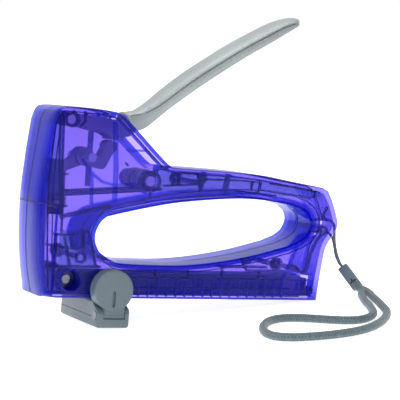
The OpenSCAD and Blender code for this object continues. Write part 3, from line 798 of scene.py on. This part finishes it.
def make_liners():
    """Thicker wall round the nose, handle and base, where the moulding is greyer and less clear."""
    bm = bmesh.new()
    for outline in (LINER_HANDLE, LINER_BASE, LINER_NOSE):
        plate(bm, outline, *LINER_Y)
    flat = [e for e in bm.edges if abs(e.verts[0].co.y - e.verts[1].co.y) < 0.01]
    bevel_edges(bm, flat, 0.1, 2, STEPPED)
    hole = bmesh.new()
    bar(hole, SIDE_HOLE, LINER_HOLE_R, -13, -10)
    piece("near_liner", cut(bm, hole), SMOKE, "body")


make_liners()

NOSE_LINE = [(3.9, 85.4), (2.8, 82), (1.7, 67.4), (1.0, 53.7), (1.2, 44.6), (2.3, 25), (3.9, 5.8), (4.6, 3)]
NOSE_LINE_Y = -11
# How far behind NOSE_LINE each painted-shade rod lies, and its radius
NOSE_SHADE_RODS = [(0, 0.42), (2.3, 0.28)]


def make_nose_shade_lines():
    """Dark rods along the inner corners of the nose: painted shade for the dark lines that show down its
    rounded side.
    """
    bm = bmesh.new()
    for back, radius in NOSE_SHADE_RODS:
        tube(curve([(x + back, NOSE_LINE_Y, z) for x, z in NOSE_LINE], 4), radius, 10, bm=bm)
    piece("nose_shade_lines", bm, PAINTED_SHADE, "body")


make_nose_shade_lines()

# Section of the screw's recess, as (radius, y)
CUP = [(5.6, 15.7), (5.6, 8.0), (2.1, 8.0), (2.1, 8.4), (4.4, 8.5), (4.78, 9), (4.78, 15.9), (5.0, 16)]


def make_screw_cups():
    """The recess round each nose screw, closed behind its head."""
    for side, name in ((-1, "near_cup"), (1, "far_cup")):
        bm = bmesh.new()
        rings = [add_ring(bm, [(SIDE_HOLE[0] + dx, side * y, SIDE_HOLE[1] + dz) for dx, dz in circle(r, 64)])
                 for r, y in CUP]
        bridge_all(bm, rings, round_again=True)
        piece(name, bm, DEEP, "body")


make_screw_cups()


# ---- lever ---------------------------------------------------------------------------------------
# Stations along the lever: (x, z of the crown, half width, side depth, size of the folded crease)
LEVER_LINE = [(40.8, 85.9, 6.2, 8.0, 0.5), (43.2, 86.7, 6.1, 8.8, 0.5), (46.4, 87.4, 6.3, 8.1, 0.55),
              (50, 89.4, 6.9, 7.0, 0.75), (55, 93.1, 7.7, 6.2, 0.95), (61, 98.2, 8.5, 6.3, 1),
              (71, 106.1, 9.3, 6.4, 1), (82, 113.8, 9.8, 6.3, 1), (96, 122.9, 10, 6.1, 1),
              (110, 131.1, 10, 5.7, 1), (120, 136.4, 9.6, 5, 1), (127, 138.8, 8.2, 3.9, 1),
              (131, 138.6, 5.2, 2.8, 0.87), (132.6, 138, 2, 1.7, 0.33)]
SHEET = 1.2

LEVER_STEPS = 8
RIM_R = 0.85


def lever_section(w, d, g):
    """Half of the folded section as (y, height): crown, rolled edge, groove, then the side wall,
    and back along the inside. The second value is the number of outer points."""
    outer = [(0, 0.6), (0.3 * w, 0.52), (0.6 * w, 0.2), (w - 2.2 * g, -0.35), (w - 1.2 * g, -0.85),
             (w - 0.62 * g, -1.45 * g), (w - 0.6 * g, -1.85 * g), (w - 1.3 * g, -2.2 * g),
             (w - 1.25 * g, -2.5 * g), (w - 0.25 * g, -2.85 * g), (w, -3.25 * g), (w, -0.5 * (3.2 * g + d)),
             (w, -d)]
    inner = [(w - SHEET, -d), (w - SHEET, -3.4 * g), (w - 2.4 * g, -2.9 * g),
             (w - 3.0 * g, -1.6 * g - SHEET * 0.4), (0.5 * w, -SHEET + 0.2), (0, 0.6 - SHEET)]
    return outer + inner, len(outer)


def make_lever():
    """The folded pressing, swept along its stations, with a rolled rim round its front end."""
    line = curve([(x, 0, z) for x, z, w, d, g in LEVER_LINE], LEVER_STEPS)
    size = curve([(w, d, g) for x, z, w, d, g in LEVER_LINE], LEVER_STEPS)
    bm = bmesh.new()
    rings = []
    last = len(line) - 1
    for i, p in enumerate(line):
        along = (line[min(i + 1, last)] - line[max(i - 1, 0)]).normalized()
        up = Vector((-along.z, 0, along.x))
        half, outer = lever_section(*size[i])
        full = half + [(-y, h) for y, h in reversed(half[1:-1])]
        rings.append(add_ring(bm, [p + up * h + Vector((0, y, 0)) for y, h in full]))
    front = [v.co.copy() for v in rings[0][:outer]]
    bridge_all(bm, rings)
    cap(bm, rings)
    bmesh.ops.triangulate(bm, faces=[f for f in bm.faces if len(f.verts) > 4])
    rim = [Vector((q.x, -q.y, q.z)) for q in reversed(front[1:])] + front
    tube([Vector((q.x - 0.2, q.y * 0.96, q.z - 0.3)) for q in rim], RIM_R, 12, bm=bm)
    piece("lever_pressing", bm, LEVER_STEEL, "lever", ["lever"], sharp=38)


make_lever()


# ---- foot ----------------------------------------------------------------------------------------
DIAL_R = 9.7
DIAL_Y = (-22.5, -16.3)
NECK = (28.0, 38.6)
NECK_FRONT = -22.2
BARREL_R = 3.1
BORE_LENGTH = 14
SLOT_HALF = 0.75
SLOT_Z = (-3.4, 4.6)
FOOT_X = (24.8, 41.3)
FOOT_HALF = 22.5
FOOT_TOP = -0.32
# Cut away above the near end of the foot, as (y, z), so that the dial can swing out
SHOULDER = [(-24, -6.9), (-22.5, -6.4), (-21.9, -5.7), (-21.3, -4.95), (-20.6, -4.15), (-18.4, -3.2),
            (-16.6, -1.9), (-15.9, 1), (-24, 1)]
NECK_GAP = 0.15
SEAT_GAP = 0.25
SOCKET_R = 3.6
LIP = 1.5
SOLE_SEAM = (-8.26, -7.94)
SEAM_DEEP = 0.28


def dial_solids():
    """The parts the dial is joined from, after the disc: its neck and the hinge barrel."""
    neck = bmesh.new()
    block(neck, *NECK, NECK_FRONT, DIAL_Y[1], HINGE[1], 2)
    bevel_edges(neck, edges_nearer_than(neck, NECK_FRONT + 0.2), 0.5, 3, STEPPED)
    barrel = bmesh.new()
    hinge_bar(barrel, sum(NECK) / 2, BARREL_R, NECK[1] - NECK[0] - 0.02, 48)
    return neck, barrel


def make_dial():
    """The round dial with its neck and hinge barrel."""
    bm = bmesh.new()
    bar(bm, DIAL, DIAL_R, *DIAL_Y, 96)
    bevel_edges(bm, edges_nearer_than(bm, DIAL_Y[0] + 0.1), 1.0, 5, ROUND)
    for solid in dial_solids():
        bm = cut(bm, solid, "UNION")
    slot = bmesh.new()
    block(slot, DIAL[0] - SLOT_HALF, DIAL[0] + SLOT_HALF, -24, -21.5, *SLOT_Z)
    bevel_edges(slot, edges_along_y(slot, 1), 0.6, 4, STEPPED)
    bm = cut(bm, slot)
    bore = bmesh.new()
    hinge_bar(bore, sum(NECK) / 2, 1.64, BORE_LENGTH, 32)
    piece("foot_dial", cut(bm, bore), GREY, "foot_arm", ["foot_arm"], sharp=35)


make_dial()


def foot_cutters():
    """What is taken out of the foot, in order."""
    neck_room = (NECK[0] - NECK_GAP, NECK[1] + NECK_GAP)
    shoulder, seat, fork, lip, socket, seam, through = (bmesh.new() for _ in range(7))
    prism(shoulder, *([(x, y, z) for y, z in SHOULDER] for x in (FOOT_X[0] - 2, FOOT_X[1] + 2)))
    bar(seat, DIAL, DIAL_R + SEAT_GAP, -24, -16.05, 96)
    block(fork, *neck_room, -24, -15.8, HINGE[1], 1)
    block(lip, *neck_room, -24, -21.4, HINGE[1] - LIP, HINGE[1] + 0.2)
    hinge_bar(socket, sum(NECK) / 2, SOCKET_R, NECK[1] - NECK[0] + 2 * NECK_GAP, 64)
    block(seam, FOOT_X[0] - 1, FOOT_X[0] + SEAM_DEEP, -17.2, 24, *SOLE_SEAM)
    block(seam, FOOT_X[1] - SEAM_DEEP, FOOT_X[1] + 1, -17.2, 24, *SOLE_SEAM)
    hinge_bar(seam, FOOT_X[0], 2.42, 4, 48)
    hinge_bar(through, 33, 1.62, BORE_LENGTH, 32)
    return shoulder, seat, fork, lip, socket, seam, through


def make_foot():
    """The cross block under the nose, with the fork for the dial's neck and a seam above its sole."""
    bm = bmesh.new()
    block(bm, *FOOT_X, -FOOT_HALF, FOOT_HALF, -FOOT_DROP, FOOT_TOP)
    bevel_edges(bm, bm.edges[:], 1.5, 5, ROUND)
    for cutter in foot_cutters():
        bm = cut(bm, cutter)
    piece("foot_body", bm, GREY, "body", ["foot_block", "foot_sole"], sharp=35)


make_foot()


# ---- ribs inside the mouldings -------------------------------------------------------------------
RIB_ROOT = HALF_W - WALL + 0.3
RIB_DEPTH = 1.5
RING_DEPTH = 1.6


def rib(bm, side, points, t, depth):
    """A thin wall along the points (x, z), standing on the inside of one shell."""
    outer = side * RIB_ROOT
    inner = side * (HALF_W - WALL - depth)
    line = [Vector(p) for p in points]
    last = len(line) - 1
    rows = []
    for i, p in enumerate(line):
        along = (line[min(i + 1, last)] - line[max(i - 1, 0)]).normalized()
        w = Vector((-along.y, along.x)) * t / 2
        rows.append(add_ring(bm, [(p.x - w.x, outer, p.y - w.y), (p.x + w.x, outer, p.y + w.y),
                                  (p.x + w.x, inner, p.y + w.y), (p.x - w.x, inner, p.y - w.y)]))
    bridge_all(bm, rows)
    cap(bm, rows)


def ring_rib(bm, side, at, r, t):
    """A round boss: a short tube standing on the inside of one shell."""
    outer = side * RIB_ROOT
    inner = side * (HALF_W - WALL - RING_DEPTH)
    rings = [add_ring(bm, [(at[0] + dx, y, at[1] + dz) for dx, dz in circle(q, 40)])
             for q, y in ((r, outer), (r, inner), (r - t, inner), (r - t, outer))]
    bridge_all(bm, rings, round_again=True)


def make_rib_set(name, side, material, ribs, rings=()):
    """One piece from ribs given as (thickness, depth, points) and rings as (middle, radius, thickness)."""
    bm = bmesh.new()
    for t, depth, points in ribs:
        rib(bm, side, points, t, depth)
    for at, r, t in rings:
        ring_rib(bm, side, at, r, t)
    piece(name, bm, material, "body")


def at_depth(depth, ribs):
    return [(t, depth, points) for t, points in ribs]


def ladder(z0, z1, t, depth):
    """The row of short upright ribs above the magazine."""
    return [(t, depth, [(44 + 4.9 * k, z0), (44 + 4.9 * k, z1)]) for k in range(18)]


# Ribs as (thickness, points)
HEAD_RIBS = [(0.8, [(15.6, 86), (15.9, 81.4), (13.6, 78.6)]), (0.8, [(10, 86), (10, 84.9)]),
             (0.8, [(22, 85.6), (22, 83.8)]), (0.8, [(28, 84.8), (28, 83)]),
             (0.6, [(3.6, 83.5), (4.6, 61), (6.3, 45), (6.6, 38)]),
             (0.6, [(5.2, 83.5), (6.2, 60), (7.6, 42.6), (7.9, 30)]), (0.7, [(6.4, 56.8), (9.2, 56.8)]),
             (0.7, [(6.8, 49.5), (9.5, 49.5)]), (0.7, [(2, 42.5), (9.8, 42.2)]),
             (0.8, [(51.4, 50.4), (51, 47.6)]), (0.7, [(37.6, 63.4), (39.1, 62.1)])]
NOSE_RIBS = [(1.9, [(6.7, 37.2), (20, 40.4), (31.4, 43.4)]),
             (1.0, [(4.3, 29.2), (12.3, 28.8), (21.3, 31.6)]), (1.0, [(5.3, 29.3), (5.8, 15)]),
             (1.0, [(9.6, 28), (13.1, 15.2)]), (1.0, [(12.9, 29.5), (13.5, 23.4)]),
             (1.0, [(13.4, 23.2), (18.9, 23.2)]), (1.0, [(18.9, 23.2), (18.5, 30.4)]),
             (0.9, [(21.1, 31.6), (26.2, 14.8)]), (1.1, [(5.7, 14.4), (28.6, 14.6)]),
             (0.7, [(5.6, 9.5), (5.6, 4.4)])]
HANDLE_RIBS = [(0.9, [(65.6, 60), (76, 60.2)]), (0.9, [(76.2, 60), (76.6, 55.4)]),
               (0.9, [(76.6, 55), (65.6, 54.2), (58, 53.6)]), (0.9, [(65.6, 59.8), (65.8, 54.4)]),
               (0.8, [(80.8, 57.6), (96, 58), (109.8, 57.6)]), (0.7, [(78, 55.4), (77.6, 52)]),
               (1.0, [(110.3, 58.3), (110.6, 54.8), (108.4, 51.6)]), (0.8, [(105.8, 58), (105.9, 53.2)]),
               (1.1, [(116, 57.2), (130, 56), (142.6, 54.4), (141.6, 51)]),
               (0.6, [(112, 53.9), (126, 52.6), (139.9, 51)])]
REAR_RIBS = [(1.0, [(148.2, 33), (145.4, 29.8), (142.5, 23.1), (141.4, 16.1), (140.1, 14), (137.2, 13.8),
                    (135, 16), (132.5, 17.4), (130.9, 16.4)]),
             (1.0, [(103.6, 18.6), (106.6, 14.2), (128.2, 14.3)]),
             (0.9, [(150.4, 47), (148.2, 42.6), (150.6, 40)]), (0.7, [(57, 13.6), (57.2, 10.2)]),
             (0.7, [(74.4, 13.8), (74.6, 10.2)]), (0.7, [(93, 15.4), (93.1, 10.2)]),
             (0.7, [(113.6, 14), (113.7, 10.2)]), (0.7, [(42.4, 9.6), (131.6, 10)]),
             (0.6, [(42.4, 5.1), (131.6, 5.5)])]
WINDOW_RIBS = [(1.9, [(31, 82), (33, 60), (33.4, 44.4)]), (1.2, [(21, 57), (21.8, 43.2)]),
               (1.2, [(15.6, 64), (17.6, 61.4), (21.4, 57.5), (26.5, 54), (32.1, 52.8), (40.8, 53.7),
                      (47, 54)]),
               (1.0, [(37.8, 69.2), (47.4, 69.6)]), (1.0, [(134.6, 26.6), (130.7, 17.2), (127, 10)]),
               (0.9, [(132.6, 12.8), (143.6, 13)]), (0.9, [(132, 9.6), (143.6, 9.8)]),
               (0.8, [(136, 9.4), (136, 5)]), (0.8, [(139.6, 9.4), (139.6, 5)]),
               (0.7, [(131.6, 36), (133, 41), (131.4, 46)])]

FAR_TICKS = [(1.1, [(x, 79), (x, 85)]) for x in (14, 20.5, 27)]
FAR_RIBS = [(1.1, [(30, 50.2), (30, 84)]), (1.1, [(15, 60), (15, 40)]), (1.1, [(5.5, 22.6), (27, 19.6)]),
            (1.1, [(60, 48), (66, 60)]), (1.1, [(91, 51.4), (92.4, 60)]),
            (1.1, [(105, 51.4), (106.4, 59.6)]), (1.1, [(112, 51.4), (134, 49.6)]),
            (1.1, [(104, 13), (132, 13)])]
# Rings as (middle, radius, thickness)
NEAR_RINGS = [(LEVER_PIVOT, 3.7, 1.2), (COIL, 5.0, 1.2), ((18.3, 18.7), 2.8, 1.1), ((78.6, 58), 2.2, 0.9),
              ((149, 34.9), 2.4, 0.9), ((122.5, 17.9), 2.4, 0.9)]
FAR_RINGS = [(at, 3.4, 1.2) for at in SCREWS] + [(LEVER_PIVOT, 3.8, 1.4), (COIL, 4.4, 1.6)]
TOP_LINE_IN = 2.4
HOLE_LINE_OUT = 0.35


def edge_shade_lines():
    """Fine smoky strips inside the top edge and round the hand hole: painted shade where the wall's inner
    corner shows.
    """
    first = len(REAR)
    top = [inset_point(BODY_EDGE, i, TOP_LINE_IN)
           for i in range(first, first + len(HANDLE_TOP) + len(HEAD_TOP) - 5)]
    around = [inset_point(HOLE_EDGE, i, -p[2] - HOLE_LINE_OUT) for i, p in enumerate(HOLE_EDGE)]
    return [(0.5, 0.6, top), (0.45, 0.5, around + around[:1])]


def make_ribs():
    near = HEAD_RIBS + NOSE_RIBS + HANDLE_RIBS + REAR_RIBS
    make_rib_set("near_ribs", -1, RIB, at_depth(RIB_DEPTH, near), NEAR_RINGS)
    make_rib_set("edge_shade_lines", -1, RIB, edge_shade_lines())
    make_rib_set("window_ribs", -1, BLUE_RIB, at_depth(RIB_DEPTH, WINDOW_RIBS))
    make_rib_set("ladder_ribs", -1, PALE_RIB, ladder(5.3, 9.5, 0.7, 1.6) + ladder(1, 4.7, 0.6, 1.2))
    make_rib_set("far_ribs", 1, RIB, at_depth(3, FAR_TICKS) + at_depth(4, FAR_RIBS), FAR_RINGS)


make_ribs()


# ---- CAD nodes that stay: better materials, and softened edges -----------------------------------
# Nodes whose edges are softened, with the width in millimetres
SOFTENED = {"rail_grip": 0.45, "magazine_latch": 0.45, "nose_screws": 0.25, "foot_pin": 0.25,
            "shell_screws": 0.25}


def soften(node, width):
    """Rounds a CAD node's sharp edges with modifiers; its own mesh stays as it is."""
    weld = node.modifiers.new("weld", "WELD")
    weld.merge_threshold = 1e-6
    bevel = node.modifiers.new("bevel", "BEVEL")
    bevel.width = width * MM
    bevel.segments = 2
    bevel.limit_method = "ANGLE"
    bevel.angle_limit = math.radians(40)
    bevel.harden_normals = True


def dress_nodes():
    slot_of = {s["node"]: s["material_slot"] for s in frame["record"]["subparts"]}
    for name, node in frame["nodes"].items():
        if node.hide_render:
            continue
        node.data.materials.clear()
        node.data.materials.append(NODE_MATERIALS[slot_of[name]])
    for name, width in SOFTENED.items():
        soften(frame["nodes"][name], width)


dress_nodes()


# ---- floor, light and background -----------------------------------------------------------------
FLOOR_HALF = 6
FLOOR_GLOW = 0.8
MIDDLE = (0, 0, 0.06)
# Lamps as (name, place, size, power), all aimed at MIDDLE
LAMPS = [("key", (-0.55, -0.75, 0.85), (0.5, 0.5), 4.5),
         ("top", (0.1, 0.15, 1.1), (0.9, 0.6), 3.9),
         ("side", (-1.0, -0.12, 0.15), (0.14, 0.8), 0.9),
         ("strip", (-0.8, -0.85, 0.2), (0.16, 1.2), 0.5)]
# Strength of the world's light in front of the gun, behind it, and added overhead
DIM_FRONT = 0.26
BACKDROP = 0.95
CEILING = 0.35


def make_stage():
    """A pale floor that glows a little, so it stays near white."""
    bm = bmesh.new()
    bmesh.ops.create_grid(bm, x_segments=1, y_segments=1, size=FLOOR_HALF)
    mesh = bpy.data.meshes.new("floor")
    bm.to_mesh(mesh)
    bm.free()
    m = new_material("pale_floor")
    lit = m.add("ShaderNodeBsdfDiffuse", {"Color": (0.9, 0.9, 0.9)}).outputs[0]
    own = m.add("ShaderNodeEmission", {"Color": (1, 1, 1), "Strength": FLOOR_GLOW}).outputs[0]
    mesh.materials.append(m.finish(m.add("ShaderNodeAddShader", {0: lit, 1: own}).outputs[0]))
    add_object("floor", mesh)


def area_light(name, at, size, power):
    data = bpy.data.lights.new(name, "AREA")
    data.shape = "RECTANGLE"
    data.size, data.size_y = size
    data.energy = power
    lamp = bpy.data.objects.new(name, data)
    bpy.context.scene.collection.objects.link(lamp)
    aim = (Vector(MIDDLE) - Vector(at)).to_track_quat("-Z", "Y").to_matrix().to_4x4()
    lamp.matrix_world = Matrix.Translation(at) @ aim


def make_world():
    """White behind the gun; as a light it is a bright backdrop and ceiling, and dimmer in front."""
    world = bpy.data.worlds.new("studio")
    bpy.context.scene.world = world
    w = Nodes(world, "ShaderNodeOutputWorld")
    way = w.add("ShaderNodeTexCoord").outputs["Generated"]
    back = w.span(w.part(way, "Y"), -0.6, 0.6, DIM_FRONT, BACKDROP)
    high = w.span(w.part(way, "Z"), 0.1, 0.9, 0, CEILING)
    soft = w.add("ShaderNodeBackground", {"Strength": w.maths("ADD", back, high)}).outputs[0]
    white = w.add("ShaderNodeBackground", {"Color": (1, 1, 1)}).outputs[0]
    seen = w.add("ShaderNodeLightPath").outputs["Is Camera Ray"]
    w.finish(w.blend(seen, soft, white))


make_stage()
for lamp in LAMPS:
    area_light(*lamp)
make_world()

bpy.context.scene.view_settings.view_transform = "Standard"
bpy.context.scene.cycles.transparent_max_bounces = 32
